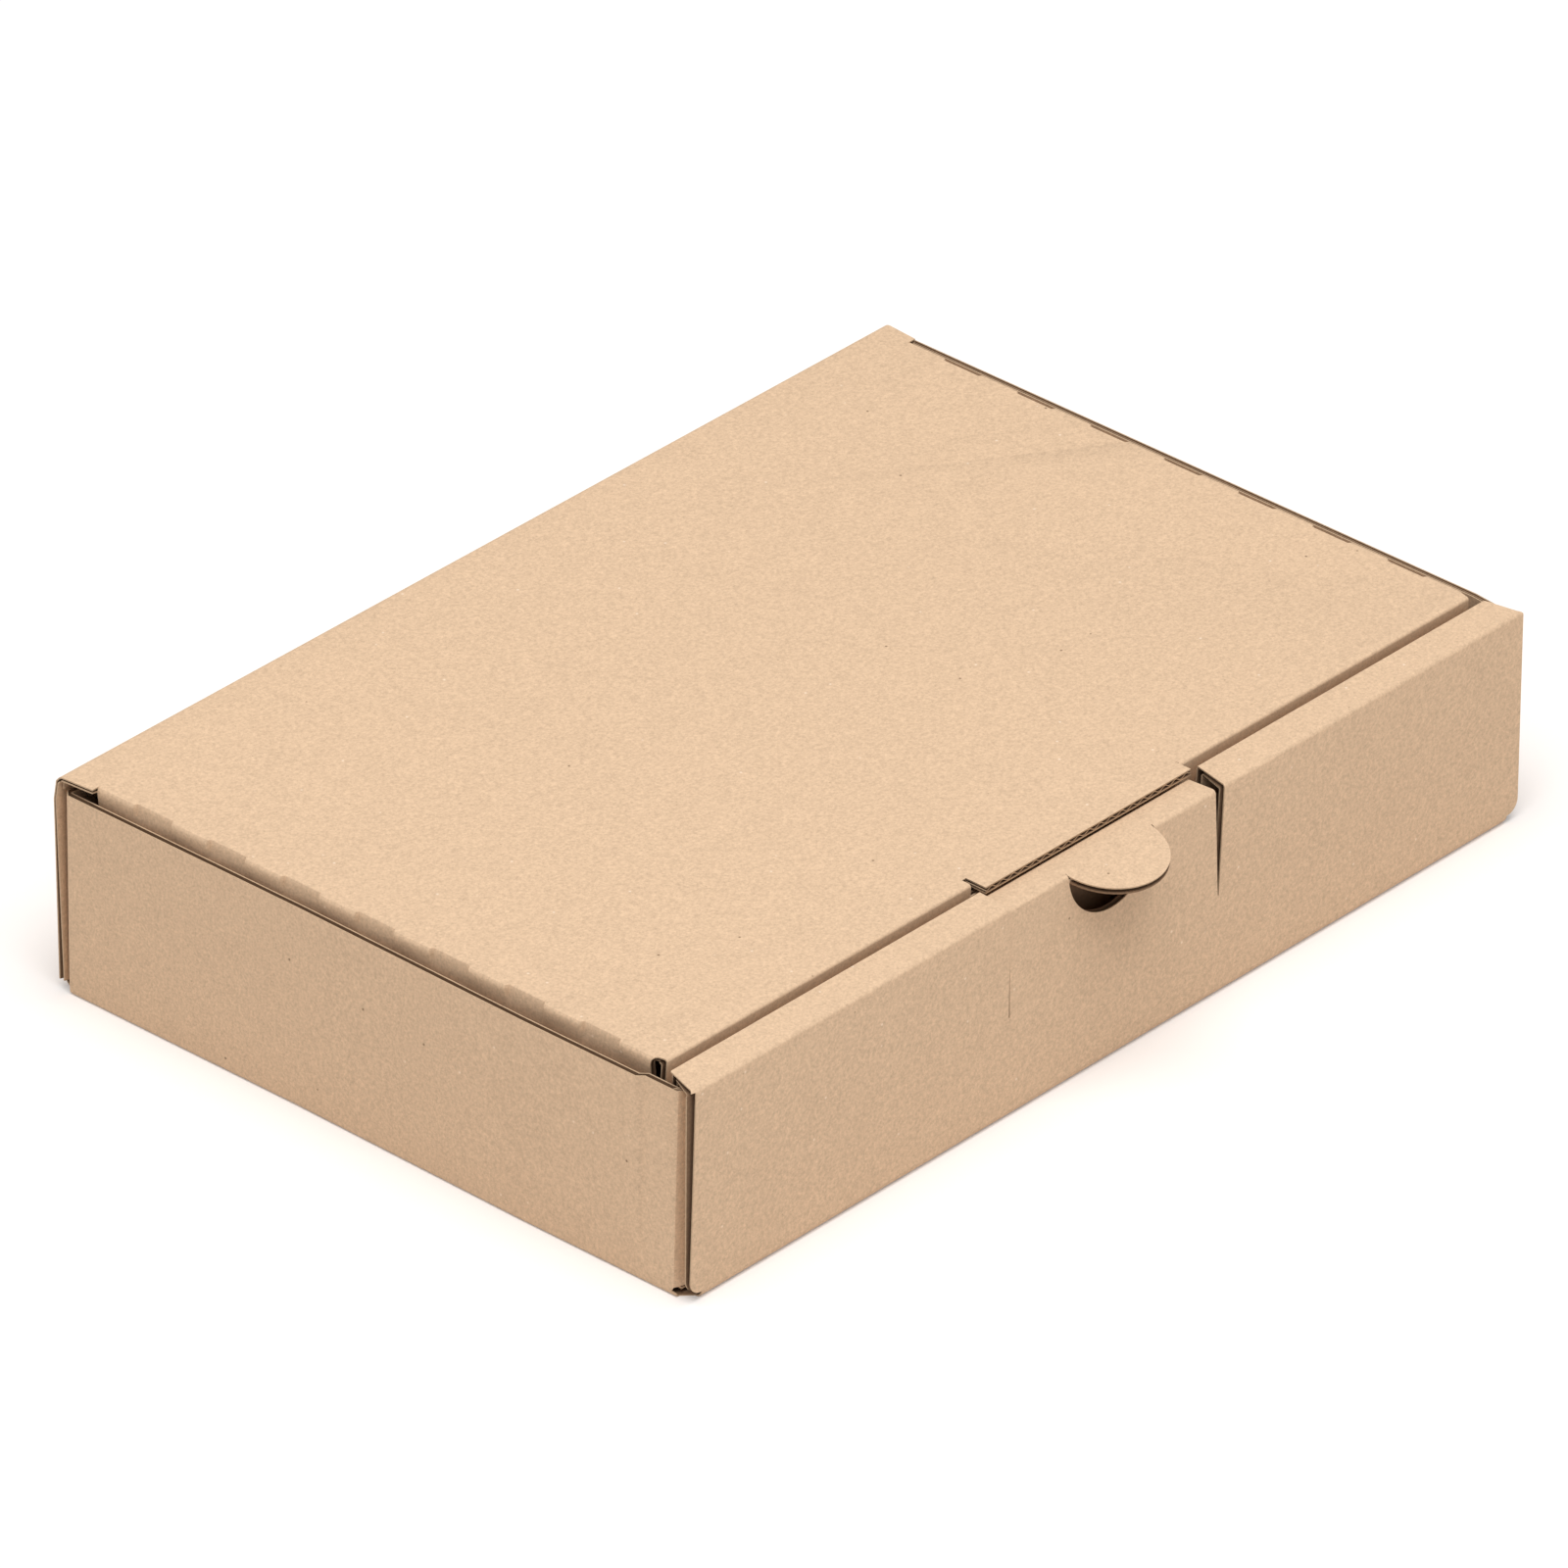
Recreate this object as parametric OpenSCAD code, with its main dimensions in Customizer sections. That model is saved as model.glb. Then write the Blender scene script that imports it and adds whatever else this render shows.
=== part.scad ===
// Closed mailing box of thin corrugated board, cut and folded from one sheet.
// The long side lies along X, the front wall faces -Y, the box stands on Z = 0
// and the origin is the middle of its floor.
// The sheet is parted only at the crease on which the lid swings.

/* [Board] */
// Thickness of the board
board_t = 1.5; // [1.2:0.1:1.8]
// Thickness of each of its two liners
liner_t = 0.3; // [0.2:0.05:0.4]
// Thickness of the fluted sheet between them
medium_t = 0.2; // [0.1:0.05:0.3]
// Distance from one flute to the next
flute_pitch = 3.2; // [2.8:0.1:3.6]
// How far the open flutes are followed in from a cut edge
flute_depth = 1.8; // [1:0.2:3]
// Inside radius of the level folds
fold_r = 0.3; // [0.2:0.1:1.2]
// Inside radius of the upright folds at the corners
corner_r = 0.7; // [0.4:0.1:2]

/* [Box] */
// Length inside, from one short wall to the other
inside_l = 240; // [180:5:320]
// Width inside, from the back wall to the roll-over
inside_w = 160; // [120:5:220]
// Height over all, to the top of the lid
box_h = 49; // [42:1:90]

/* [Front wall] */
// Depth of the hollow front wall, and so of the ledge on it
ledge_w = 8; // [7:0.5:12]
// How far the ledge lies below the top of the lid
ledge_drop = 1; // [0.6:0.1:1.4]
// How far the front wall runs past each short wall
front_past = 1.5; // [0.5:0.5:3]
// How far each end of the ledge is cut back at the front
ledge_cut_front = 0.5; // [0.5:0.5:2]
// How far each end of the ledge is cut back at the rear
ledge_cut_rear = 5.3; // [4:0.1:8]
// Radius of the front wall's lower corners
front_corner_r = 3; // [1:0.5:6]
// Width of the two lock tabs that hold the roll-over in the floor
lock_w = 30; // [16:2:44]
// Distance from the middle of the box to the middle of a lock tab
lock_x = 64; // [56:1:66]
// Play of a lock tab in its slot, and of the roll-over above the floor
lock_play = 0.3; // [0.2:0.1:0.5]

/* [Tongue] */
// Width of the tongue, from the middle of one slit to that of the other
tongue_w = 62; // [56:1:70]
// Height of the slits, down from the ledge
slit_h = 25; // [16:1:30]
// Width of a slit at its open end
slit_w = 1.2; // [0.6:0.1:2]
// Width of a slit at its foot
slit_foot_w = 0.3; // [0.2:0.1:0.5]
// How far the tongue is pressed below the ledge
tongue_drop = 0.7; // [0.7:0.1:1.2]
// How far the tongue's upper edge is pressed in
tongue_in = 0.5; // [0.2:0.1:0.8]
// Radius of the thumb tab and of the hole that it leaves
tab_r = 12.6; // [8:0.1:14]
// How far the centre of the tab's round end lies behind the front wall
tab_set_back = 1.4; // [0.2:0.1:1.6]
// How far the tip of the tab hangs below the ledge
tab_hang = 2; // [0.5:0.1:3]
// Sideways place of the tab, from the middle of the tongue
tab_x = -1; // [-4:0.5:4]
// Gap that the knife leaves round the tab
tab_gap = 0.15; // [0.1:0.05:0.3]

/* [Short walls] */
// How far the short walls stay below the top of the lid
wall_drop = 3.3; // [2.7:0.1:6]
// Length of the corner flaps, along the front and back walls
corner_flap_l = 38; // [24:2:44]
// Slant of a corner flap's upper and lower edges
corner_flap_slant = 5; // [0:1:10]
// Play between a corner flap and the wall that it stands behind
corner_play = 0.2; // [0.1:0.1:0.4]

/* [Back wall] */
// How far the back wall runs past each short wall at the top
back_past = 0.8; // [0.4:0.1:2]
// How far its ends lean in towards the foot
back_lean = 0.8; // [0:0.1:1.2]

/* [Lid] */
// Gap left in the crease between the back wall and the lid
hinge_gap = 0.1; // [0.05:0.05:0.2]
// Play between the lid's side flaps and the short walls
side_play = 0.5; // [0.3:0.1:1]
// Play between the lid's front flap and the roll-over
tuck_play = 0.4; // [0.3:0.1:0.8]
// Depth of the side flaps, below their fold
side_flap_h = 28; // [15:1:30]
// Length of lid without a side flap, next to the crease
side_flap_back = 9.2; // [7:0.1:20]
// How far the side flaps stay back from the front flap
side_flap_front = 4.5; // [3:0.5:12]
// How far the lid's bare side edges lean in over that length
side_lean = 1.4; // [0.5:0.1:2]
// Cut across a side flap's lower corners
side_flap_cut = 12; // [4:1:14]
// Length of each stretch of the side creases, cut and uncut in turn
crease_step = 9.9; // [6:0.1:14]
// How far the uncut stretches bulge out past the side flap
crease_bulge = 0.9; // [0.3:0.1:1.2]
// Depth of the front flap, below its fold
tuck_h = 22; // [14:1:26]
// How far the front flap leans in from upright, in degrees
tuck_lean = 5; // [4:0.5:8]
// How far each end of the front flap stays back from the short wall
tuck_end = 1; // [0.6:0.1:6]
// Cut across the front flap's lower corners
tuck_cut = 10; // [4:1:12]
// Width of the lip that reaches over the tongue
lip_w = 57.2; // [40:0.2:60]
// How far the lip reaches past the front flap
lip_out = 0.7; // [0.5:0.1:3]
// Width of the relief cut beside the lip
lip_relief = 1.5; // [0.8:0.1:2.5]

/* [Hidden] */
$fn = 64;
// Small overlap that lets a cut run clean through a face
cut = 1;
// Outside radius of the folds
fold_out = fold_r + board_t;
corner_out = corner_r + board_t;
// Outer faces of the walls
wall_x = inside_l / 2 + board_t;
front_x = wall_x + front_past;
back_x = wall_x + back_past;
box_w = inside_w + ledge_w + board_t;
front_y = -box_w / 2;
back_y = box_w / 2;
roll_y = front_y + ledge_w;
// Heights of what stays below the lid
lid_z = box_h;
ledge_z = box_h - ledge_drop;
tongue_z = ledge_z - tongue_drop;
wall_z = box_h - wall_drop;
slit_z = ledge_z - slit_h;
// Flat part of the floor, between its four folds
floor_x = wall_x - fold_out;
floor_y = back_y - fold_out;
// The lid's crease lies in the middle of the fold behind it
hinge_turn = 45 - atan(hinge_gap / 2 / fold_out);
// Outer faces of the lid's flaps, and where its flat panel ends
side_x = inside_l / 2 - side_play;
tuck_y = roll_y + tuck_play;
lid_flat_x = side_x - fold_out;
lid_flat_y = tuck_y + fold_out;
lip_y = tuck_y - lip_out;
side_back_y = back_y - side_flap_back;
side_front_y = tuck_y + side_flap_front;
tuck_x = inside_l / 2 - tuck_end;
// Centre and tip of the thumb tab, and where it leaves the ledge
tab_y = front_y + tongue_in + tab_set_back;
tab_tip_y = tab_y - tab_r;
tab_root_y = front_y + tongue_in + fold_out;
// The lip is cut from the front flap, so the flap has a notch as deep as the lip is long
lip_notch = max(lid_flat_y - lip_y - (fold_r + board_t / 2) * PI / 2, cut / 2);

// Board on edge, bent about a centre on the inner side
module bend_section(turn, radius) {
    far = 3 * (radius + board_t);
    translate([0, radius + board_t])
        intersection() {
            difference() {
                circle(radius + board_t);
                circle(radius);
            }
            polygon([
                [0, 0],
                far * [sin(0), -cos(0)],
                far * [sin(turn / 2), -cos(turn / 2)],
                far * [sin(turn), -cos(turn)]
            ]);
        }
}

// Board on edge, along a list of steps. A step is [straight length, turn, inside radius].
// The outer face starts on the X axis, and each turn goes towards the inner face.
module strip_section(steps, i = 0) {
    if (i < len(steps)) {
        length = steps[i][0];
        turn = steps[i][1];
        radius = steps[i][2];
        if (length > 0)
            square([length, board_t]);
        translate([length, 0])
            if (turn > 0) {
                bend_section(turn, radius);
                translate([0, radius + board_t])
                    rotate(turn)
                        translate([0, -radius - board_t])
                            strip_section(steps, i + 1);
            }
    }
}

// Side view, from the floor forwards or up the front wall, drawn out along X
module along_x(width) {
    rotate([90, 0, -90])
        linear_extrude(width, center = true)
            children();
}

// Front view, in X and Z, drawn out along Y from one place to another
module along_y(y_from, y_to) {
    translate([0, y_to, 0])
        rotate([90, 0, 0])
            linear_extrude(y_to - y_from)
                children();
}

module mirrored_x() {
    children();
    mirror([1, 0, 0])
        children();
}

// Open flutes in a cut edge that runs along X, in board that lies flat.
// The edge is at Y = 0 and the board's lower face at Z = 0.
module flute_cells(width, depth) {
    count = floor(width / flute_pitch);
    core = board_t - 2 * liner_t;
    cell_w = flute_pitch - 3 * medium_t;
    cell_h = core - medium_t;
    for (i = [0 : count - 1])
        translate([(i - (count - 1) / 2) * flute_pitch, depth, 0])
            rotate([90, 0, 0])
                linear_extrude(depth + cut) {
                    translate([-flute_pitch / 4, liner_t])
                        polygon([[-cell_w / 2, 0], [cell_w / 2, 0], [0, cell_h]]);
                    translate([flute_pitch / 4, board_t - liner_t])
                        polygon([[-cell_w / 2, 0], [0, -cell_h], [cell_w / 2, 0]]);
                }
}

// Hollow between the liners in a cut edge that runs along the flutes
module edge_groove(size) {
    translate(-size / 2)
        cube(size);
}

module floor_panel() {
    translate([-floor_x, -floor_y, 0])
        cube([2 * floor_x, 2 * floor_y, board_t]);
}

// The lock tabs of the roll-over stand in two slots in the floor
module lock_slots() {
    mirrored_x()
        translate([lock_x - lock_w / 2 - lock_play, roll_y - board_t - lock_play, -cut])
            cube([lock_w + 2 * lock_play, board_t + 2 * lock_play, board_t + 2 * cut]);
}

module lock_tabs() {
    mirrored_x()
        translate([lock_x - lock_w / 2, roll_y - board_t, lock_play])
            cube([lock_w, board_t, board_t + 2 * lock_play]);
}

// Outline of the front wall: as long as the floor at the fold, longer above it
module front_outline() {
    translate([-floor_x, -cut])
        square([2 * floor_x, box_h]);
    translate([-front_x, fold_out])
        square([2 * front_x, box_h]);
}

// Takes away all but the rounded lower corner of the front wall
module front_corner_cut() {
    along_y(front_y - cut, front_y + board_t + cut)
        translate([front_x - front_corner_r, fold_out])
            difference() {
                square(front_corner_r + cut);
                translate([0, front_corner_r])
                    circle(front_corner_r);
                translate([-cut, front_corner_r])
                    square([front_corner_r + cut, 2 * cut]);
            }
}

// Front wall rolled over to the inside: outer panel, ledge and inner panel
module front_roll() {
    rise = ledge_z - 2 * fold_out;
    ledge = ledge_w - 2 * fold_out;
    fall = ledge_z - fold_out - board_t - lock_play;
    intersection() {
        translate([0, -floor_y, 0])
            along_x(2 * front_x)
                strip_section([[0, 90, fold_r], [rise, 90, fold_r], [ledge, 90, fold_r], [fall, 0, 0]]);
        along_y(front_y - cut, roll_y + cut)
            front_outline();
    }
}

// Slanted ends of the ledge, and the shorter inner panel
module front_end_cut() {
    ledge_front_x = front_x - ledge_cut_front;
    ledge_rear_x = front_x - ledge_cut_rear;
    translate([0, 0, ledge_z - fold_out])
        linear_extrude(box_h)
            polygon([
                [ledge_front_x, front_y - cut],
                [ledge_front_x, front_y],
                [ledge_rear_x, roll_y],
                [ledge_rear_x, roll_y + cut],
                [front_x + cut, roll_y + cut],
                [front_x + cut, front_y - cut]
            ]);
    translate([ledge_rear_x, front_y + board_t, board_t])
        cube([front_x, ledge_w, ledge_z - board_t]);
}

// The middle of the roll-over, pressed in and down by the lid's lip.
// Its outer panel leans in from the foot of the slits.
module tongue() {
    rise = tongue_z - slit_z - fold_out;
    ledge = ledge_w - tongue_in - 2 * fold_out;
    translate([0, front_y, slit_z])
        rotate([0, -90, 0])
            linear_extrude(tongue_w, center = true) {
                polygon([[0, 0], [rise, tongue_in], [rise, tongue_in + board_t], [0, board_t]]);
                translate([rise, tongue_in])
                    strip_section([[0, 90, fold_r], [ledge, 90, fold_r], [rise, 0, 0]]);
            }
}

// Room for the tongue in the straight roll-over
module tongue_room() {
    translate([-tongue_w / 2, front_y - cut, slit_z])
        cube([tongue_w, ledge_w + 2 * cut, box_h]);
}

// Slits beside the tongue, wider at their open end
module slits() {
    along_y(front_y - cut, roll_y + cut)
        mirrored_x()
            translate([tongue_w / 2, 0])
                polygon([
                    [-slit_foot_w / 2, slit_z],
                    [slit_foot_w / 2, slit_z],
                    [slit_w / 2, ledge_z + cut],
                    [-slit_w / 2, ledge_z + cut]
                ]);
}

// Thumb hole in the outer panel, left by the tab
module thumb_hole() {
    along_y(front_y - cut, front_y + tongue_in + fold_out)
        translate([tab_x, tongue_z])
            circle(tab_r + tab_gap);
}

// Outline of the thumb tab, seen from above
module tab_outline(grow) {
    translate([tab_x, tab_y])
        circle(tab_r + grow);
    translate([tab_x - tab_r - grow, tab_y])
        square([2 * (tab_r + grow), tab_root_y - tab_y + cut]);
}

// Side view of the tab: it leaves the ledge level with it and hangs a little towards its tip
module tab_side_view() {
    polygon([
        [-tab_root_y, tongue_z],
        [-tab_tip_y, tongue_z - tab_hang],
        [-tab_tip_y, tongue_z - tab_hang - board_t],
        [-tab_root_y, tongue_z - board_t]
    ]);
}

// Thumb tab with the flutes open in its cut edge
module thumb_tab() {
    tab_l = tab_root_y - tab_tip_y;
    difference() {
        intersection() {
            translate([0, 0, slit_z])
                linear_extrude(box_h)
                    tab_outline(0);
            along_x(2 * (tab_r + abs(tab_x) + cut))
                tab_side_view();
        }
        translate([tab_x, tab_root_y, tongue_z - board_t])
            rotate([atan(tab_hang / tab_l), 0, 0])
                translate([-tab_x, -tab_root_y, 0])
                    intersection() {
                        translate([tab_x, tab_tip_y, 0])
                            flute_cells(2 * tab_r, tab_r);
                        translate([0, 0, -cut])
                            linear_extrude(board_t + 2 * cut)
                                difference() {
                                    tab_outline(cut);
                                    tab_outline(-flute_depth);
                                }
                    }
    }
}

module front_wall() {
    groove = [2 * flute_depth, board_t - 2 * liner_t, ledge_z - 2 * fold_out - front_corner_r];
    difference() {
        union() {
            difference() {
                front_roll();
                tongue_room();
            }
            difference() {
                tongue();
                thumb_hole();
            }
            thumb_tab();
        }
        slits();
        mirrored_x() {
            front_end_cut();
            front_corner_cut();
            translate([front_x, front_y + board_t / 2, (ledge_z + front_corner_r) / 2])
                edge_groove(groove);
        }
    }
    lock_tabs();
}

// Back wall up to the middle of the fold that carries the lid
module back_wall() {
    rise = box_h - 2 * fold_out;
    foot_x = back_x - back_lean;
    groove = [2 * flute_depth, board_t - 2 * liner_t, rise];
    difference() {
        intersection() {
            translate([0, floor_y, 0])
                mirror([0, 1, 0])
                    along_x(2 * back_x)
                        strip_section([[0, 90, fold_r], [rise, hinge_turn, fold_r]]);
            along_y(floor_y - cut, back_y + cut)
                polygon([
                    [-floor_x, -cut],
                    [-floor_x, fold_out],
                    [-foot_x, fold_out],
                    [-back_x, box_h + cut],
                    [back_x, box_h + cut],
                    [foot_x, fold_out],
                    [floor_x, fold_out],
                    [floor_x, -cut]
                ]);
        }
        mirrored_x()
            translate([back_x, back_y - board_t / 2, box_h / 2])
                edge_groove(groove);
    }
}

// Short wall on the right with its two corner flaps, seen from above
module short_wall_section() {
    flap_y = back_y - board_t - corner_play;
    wall = 2 * (flap_y - corner_out);
    translate([wall_x - corner_out - corner_flap_l, -flap_y])
        strip_section([[corner_flap_l, 90, corner_r], [wall, 90, corner_r], [corner_flap_l, 0, 0]]);
}

// Slanted upper and lower edges of a corner flap, cut from the corner inwards
module corner_flap_cut() {
    fall = corner_flap_l * tan(corner_flap_slant);
    start_x = wall_x - corner_out;
    end_x = start_x - corner_flap_l;
    along_y(-box_w, box_w) {
        polygon([[start_x, wall_z], [end_x - cut, wall_z - fall], [end_x - cut, wall_z + cut], [start_x, wall_z + cut]]);
        polygon([[start_x, fold_out], [end_x - cut, fold_out + fall], [end_x - cut, 0], [start_x, 0]]);
    }
}

module short_wall() {
    wall_y = back_y - board_t - corner_play - corner_out;
    groove = [board_t - 2 * liner_t, 2 * wall_y, 2 * flute_depth];
    translate([floor_x, 0, 0])
        rotate([90, 0, 0])
            linear_extrude(2 * wall_y, center = true)
                strip_section([[0, 90, fold_r], [0, 0, 0]]);
    difference() {
        translate([0, 0, fold_out])
            linear_extrude(wall_z - fold_out)
                short_wall_section();
        corner_flap_cut();
        translate([wall_x - board_t / 2, 0, wall_z])
            edge_groove(groove);
    }
}

module tray() {
    color([0.80, 0.66, 0.52]) {
        difference() {
            floor_panel();
            lock_slots();
        }
        front_wall();
        back_wall();
        mirrored_x()
            short_wall();
    }
}

// Outline of the lid's flat panel, seen from above
module lid_outline() {
    bare_x = back_x - side_lean;
    translate([-lid_flat_x, lid_flat_y])
        square([2 * lid_flat_x, floor_y - lid_flat_y]);
    polygon([
        [-back_x, floor_y],
        [-bare_x, side_back_y],
        [bare_x, side_back_y],
        [back_x, floor_y]
    ]);
    translate([-tuck_x, lid_flat_y])
        square([2 * tuck_x, side_front_y - lid_flat_y]);
    translate([-lip_w / 2, lip_y])
        square([lip_w, lid_flat_y - lip_y + cut]);
}

module lid_panel() {
    translate([0, 0, lid_z - board_t])
        linear_extrude(board_t)
            lid_outline();
}

// The lid's half of the fold over the back wall
module lid_crease() {
    translate([0, floor_y, lid_z])
        rotate([-90, 0, 90])
            linear_extrude(2 * back_x, center = true)
                strip_section([[0, hinge_turn, fold_r], [0, 0, 0]]);
}

// Front view of the bulge that an uncut stretch of a side crease makes, above the short wall
module bulge_section() {
    foot_z = wall_z + 0.3;
    rise = lid_z - foot_z;
    polygon([
        [lid_flat_x, lid_z],
        [side_x, lid_z],
        [side_x + 0.7 * crease_bulge, lid_z - 0.2 * rise],
        [side_x + crease_bulge, lid_z - 0.4 * rise],
        [side_x + 0.85 * crease_bulge, lid_z - 0.7 * rise],
        [side_x, foot_z],
        [side_x - board_t / 2, foot_z],
        [lid_flat_x, lid_z - board_t / 2]
    ]);
}

// The rule of the die cuts the liner of the side creases in every second stretch only.
// The board folds sharply where it is cut, and bulges out in between.
module crease_bulges() {
    for (start = [side_back_y : -2 * crease_step : side_front_y + crease_step / 3])
        along_y(max(start - crease_step, side_front_y), start)
            bulge_section();
}

// Side flap on the right, folded down inside the short wall
module side_flap() {
    length = side_back_y - side_front_y;
    crease_bulges();
    intersection() {
        translate([lid_flat_x, side_back_y, lid_z])
            mirror([0, 0, 1])
                rotate([90, 0, 0])
                    linear_extrude(length)
                        strip_section([[0, 90, fold_r], [side_flap_h, 0, 0]]);
        translate([0, 0, lid_z - fold_out - side_flap_h])
            rotate([90, 0, 90])
                linear_extrude(wall_x)
                    polygon([
                        [side_front_y + side_flap_cut, 0],
                        [side_back_y - side_flap_cut, 0],
                        [side_back_y, side_flap_cut],
                        [side_back_y, side_flap_h + fold_out],
                        [side_front_y, side_flap_h + fold_out],
                        [side_front_y, side_flap_cut]
                    ]);
    }
}

// Front flap, folded down behind the roll-over and parted above the lip
module tuck_flap() {
    foot_z = lid_z - fold_out - tuck_h;
    notch_x = lip_w / 2 + lip_relief;
    difference() {
        translate([0, lid_flat_y, lid_z])
            rotate([-90, 0, -90])
                linear_extrude(2 * tuck_x, center = true)
                    strip_section([[0, 90 + tuck_lean, fold_r], [tuck_h, 0, 0]]);
        translate([-notch_x, tuck_y - cut, lid_z - fold_out - lip_notch])
            cube([2 * notch_x, lid_flat_y - tuck_y + cut, lip_notch + fold_out + cut]);
        mirrored_x()
            along_y(tuck_y - cut, tuck_y + tuck_h)
                polygon([
                    [tuck_x - tuck_cut, foot_z - cut],
                    [tuck_x + cut, foot_z + tuck_cut],
                    [tuck_x + cut, foot_z - cut]
                ]);
    }
}

module lid() {
    color([0.92, 0.79, 0.66]) {
        difference() {
            lid_panel();
            translate([0, lip_y, lid_z - board_t])
                flute_cells(lip_w, flute_depth);
        }
        lid_crease();
        mirrored_x()
            side_flap();
        tuck_flap();
    }
}

tray();
lid();
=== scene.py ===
# %% [markdown]
# # A closed mailing box of corrugated board
#
# The real box is one die-cut sheet of kraft board, folded without glue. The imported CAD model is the
# fixed frame: it says where each wall and flap lies. Here the same sheet is built again as a real
# board, with two liners and a fluted sheet between them, so that every cut edge shows its flutes.

# %% Load the frame
import math

import bmesh
import bpy
from mathutils import Matrix, Vector


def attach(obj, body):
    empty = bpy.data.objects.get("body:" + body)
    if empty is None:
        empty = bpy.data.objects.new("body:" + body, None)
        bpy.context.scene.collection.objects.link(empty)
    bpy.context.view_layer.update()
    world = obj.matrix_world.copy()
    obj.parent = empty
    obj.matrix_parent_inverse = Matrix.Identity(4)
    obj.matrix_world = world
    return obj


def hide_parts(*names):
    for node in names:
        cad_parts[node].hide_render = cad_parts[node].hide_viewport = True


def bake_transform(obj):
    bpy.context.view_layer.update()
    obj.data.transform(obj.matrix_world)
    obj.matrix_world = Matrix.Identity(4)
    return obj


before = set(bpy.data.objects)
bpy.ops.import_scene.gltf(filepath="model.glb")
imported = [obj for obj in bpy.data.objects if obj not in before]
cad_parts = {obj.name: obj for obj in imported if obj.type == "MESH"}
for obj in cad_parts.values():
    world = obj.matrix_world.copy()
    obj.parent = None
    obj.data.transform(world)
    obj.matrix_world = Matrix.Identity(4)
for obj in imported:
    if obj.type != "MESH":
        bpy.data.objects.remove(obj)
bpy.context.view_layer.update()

MM = 0.001

# %% [markdown]
# ## Camera
#
# The photograph was taken with a long lens from the front left, a little above the box. Its place was
# found from the straight edges of the walls, so the camera stands far off with a long focal length.
# A long lens keeps the edges of the box nearly parallel, as they are in the picture.

# %% Camera
AZIMUTH, ELEVATION, ROLL = math.radians(-48.195), math.radians(31.131), math.radians(0.466)
DISTANCE, TO_THE_RIGHT, UP = 3.7742, -0.001485, 0.023699
LENS, SENSOR = 436.2, 36.0

back = Vector((
    math.sin(AZIMUTH) * math.cos(ELEVATION),
    -math.cos(AZIMUTH) * math.cos(ELEVATION),
    math.sin(ELEVATION)))
level = Vector((math.cos(AZIMUTH), math.sin(AZIMUTH), 0))
upright = back.cross(level)
right = level * math.cos(ROLL) + upright * math.sin(ROLL)
up = upright * math.cos(ROLL) - level * math.sin(ROLL)
turned = Matrix((right, up, back)).transposed()
bpy.ops.object.camera_add(
    location=back * DISTANCE + right * TO_THE_RIGHT + up * UP, rotation=turned.to_euler())
camera = bpy.context.object
camera.name = "camera"
camera.data.lens, camera.data.sensor_width = LENS, SENSOR
camera.data.clip_start, camera.data.clip_end = 0.1, 20
bpy.context.scene.camera = camera
print("camera at", [round(c, 3) for c in camera.location])

# %% [markdown]
# ## Tools of the hand
#
# Modelling by hand means picking some edges or faces and then using a tool on them. A script can't
# point with a mouse, so these helpers pick by place or by direction, in millimetres. An operator acts
# on all that is selected, so each pick starts with nothing selected.


# %% Picking
def only(piece):
    """Selects one object and makes it active."""
    bpy.ops.object.select_all(action="DESELECT")
    piece.select_set(True)
    bpy.context.view_layer.objects.active = piece


def into_edit(piece):
    only(piece)
    bpy.ops.object.mode_set(mode="EDIT")
    bpy.ops.mesh.select_all(action="DESELECT")


def out_of_edit():
    bpy.ops.object.mode_set(mode="OBJECT")


def pick(kind, test):
    """Selects what passes the test: its middle in mm, and its normal, or its direction for an edge."""
    bpy.ops.mesh.select_all(action="DESELECT")
    bpy.ops.mesh.select_mode(type=kind)
    mesh = bmesh.from_edit_mesh(bpy.context.object.data)
    found = 0
    if kind == "FACE":
        for face in mesh.faces:
            if test(face.calc_center_median() / MM, face.normal):
                face.select_set(True)
                found += 1
    elif kind == "EDGE":
        for edge in mesh.edges:
            a, b = (v.co / MM for v in edge.verts)
            if test((a + b) / 2, (b - a).normalized()):
                edge.select_set(True)
                found += 1
    else:
        for vert in mesh.verts:
            if test(vert.co / MM, vert.normal):
                vert.select_set(True)
                found += 1
    bmesh.update_edit_mesh(bpy.context.object.data)
    return found


def near(a, b, gap=0.02):
    return abs(a - b) < gap


# %% [markdown]
# A fold is a spin: the edge of a panel is turned a quarter round a line that lies on the inner side
# of the board. Between two folds the edge is extruded straight on. That is how the folder's hand
# goes round the box too.


# %% Folding
def extrude(x, y, z):
    bpy.ops.mesh.extrude_region_move(TRANSFORM_OT_translate={"value": (x * MM, y * MM, z * MM)})


def move(x, y, z):
    bpy.ops.transform.translate(value=(x * MM, y * MM, z * MM))


FOLD_STEPS = 6


def fold(centre, axis, degrees, steps=FOLD_STEPS):
    """Turns the picked edges round a line. Blender's spin counts its angle the other way."""
    bpy.ops.mesh.spin(steps=steps, angle=-math.radians(degrees), center=[c * MM for c in centre], axis=axis)


def slice_at(axis, places, test=None):
    """Cuts new edges through the picked faces, or all of them, at some places along X, Y or Z."""
    normal = [0, 0, 0]
    normal[axis] = 1
    for place in places:
        if test:
            pick("FACE", test)
        else:
            bpy.ops.mesh.select_all(action="SELECT")
        point = [n * place * MM for n in normal]
        bpy.ops.mesh.bisect(plane_co=point, plane_no=normal)


def face_out(inward):
    """Makes all normals of a sheet agree, and flips them if the test finds one that points inwards."""
    bpy.ops.mesh.select_all(action="SELECT")
    bpy.ops.mesh.normals_make_consistent(inside=False)
    if pick("FACE", inward):
        bpy.ops.mesh.select_all(action="SELECT")
        bpy.ops.mesh.flip_normals()


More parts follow.
